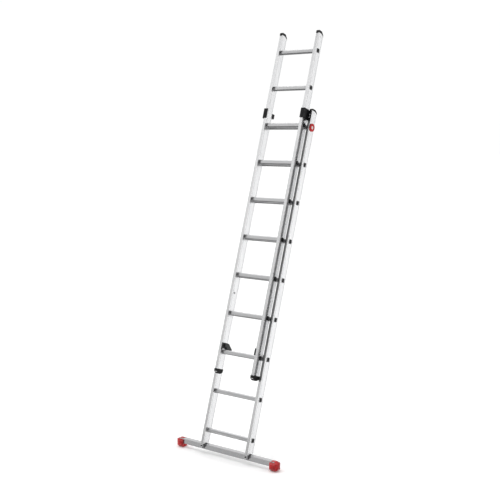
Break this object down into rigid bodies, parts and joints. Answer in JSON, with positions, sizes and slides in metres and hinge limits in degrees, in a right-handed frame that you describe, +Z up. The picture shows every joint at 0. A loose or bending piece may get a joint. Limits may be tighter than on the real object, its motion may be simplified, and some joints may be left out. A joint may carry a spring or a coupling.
{
  "type": "extension ladder",
  "caption": "Leaning two-section aluminium extension ladder on a stabiliser crossbar with rubber feet; the fly slides in guides and hooks over the base's rungs.",
  "frame": {"origin": "on the floor, midway between the two red feet, on the crossbar's centre line", "axes": "+X to the climber's right as they face the ladder, +Y towards the wall it leans on, +Z up"},
  "size_m": [0.9, 0.9575, 2.9869],
  "materials": {
    "stile_metal": "satin extruded",
    "rung_metal": "satin extruded",
    "crossbar_metal": "satin extruded",
    "rivet_metal": "dull",
    "black_plastic": "moulded",
    "grey_plastic": "moulded",
    "guide_plastic": "moulded",
    "foot_rubber": "matt",
    "red_rubber": "semi-gloss",
    "disc_red": "gloss",
    "hook_steel": "black coated",
    "bolt_black": "black coated",
    "zinc_steel": "zinc plated",
    "spring_steel": "bright"
  },
  "bodies": {
    "base": {"base_stile_left": "stile_metal", "base_cap_left": "black_plastic", "crossbar_cap_left": "red_rubber", "guide_left": "guide_plastic", "base_stile_right": "stile_metal", "base_cap_right": "black_plastic", "crossbar_cap_right": "red_rubber", "guide_right": "guide_plastic", "base_rung_1": "rung_metal", "base_rung_2": "rung_metal", "base_rung_3": "rung_metal", "base_rung_4": "rung_metal", "base_rung_5": "rung_metal", "base_rung_6": "rung_metal", "base_rung_7": "rung_metal", "base_rung_8": "rung_metal", "base_rung_9": "rung_metal", "base_cap_rivets": "rivet_metal", "guide_rivets": "rivet_metal", "disc": "disc_red", "base_rung_plugs": "black_plastic", "crossbar": "crossbar_metal", "crossbar_wedges": "grey_plastic", "crossbar_bolts": "bolt_black", "crossbar_nuts": "zinc_steel"},
    "fly": {"fly_stile_left": "stile_metal", "fly_cap_left": "black_plastic", "fly_foot_left": "foot_rubber", "fly_stile_right": "stile_metal", "fly_cap_right": "black_plastic", "fly_foot_right": "foot_rubber", "fly_rung_1": "rung_metal", "fly_rung_2": "rung_metal", "fly_rung_3": "rung_metal", "fly_rung_4": "rung_metal", "fly_rung_5": "rung_metal", "fly_rung_6": "rung_metal", "fly_rung_7": "rung_metal", "fly_rung_8": "rung_metal", "fly_rung_9": "rung_metal", "fly_cap_rivets": "rivet_metal", "fly_rung_plugs": "black_plastic", "stop_bolts": "zinc_steel", "stop_nuts": "zinc_steel", "latch_plates": "hook_steel", "latch_rivets": "bolt_black", "latch_pin_left": "bolt_black", "latch_pin_right": "bolt_black", "latch_spring_left": "spring_steel", "latch_spring_right": "spring_steel"},
    "hook_left": {"latch_hook_left": "hook_steel"},
    "hook_right": {"latch_hook_right": "hook_steel"}
  },
  "joints": [
    {"name": "fly_slide", "type": "slide", "parent": "base", "child": "fly", "axis": [0, 0.309, 0.9511], "range_m": [-0.56, 1.12]},
    {"name": "hook_left", "type": "hinge", "parent": "fly", "child": "hook_left", "pos_m": [-0.141, 0.16399, 0.75112], "axis": [1, 0, 0], "range_deg": [0, 100], "stiffness_Nm_per_rad": 0.02, "springref_deg": -34.38, "deforming": ["latch_spring_left"]},
    {"name": "hook_right", "type": "hinge", "parent": "fly", "child": "hook_right", "pos_m": [0.141, 0.16399, 0.75112], "axis": [1, 0, 0], "range_deg": [0, 100], "stiffness_Nm_per_rad": 0.02, "springref_deg": -34.38, "deforming": ["latch_spring_right"]}
  ]
}
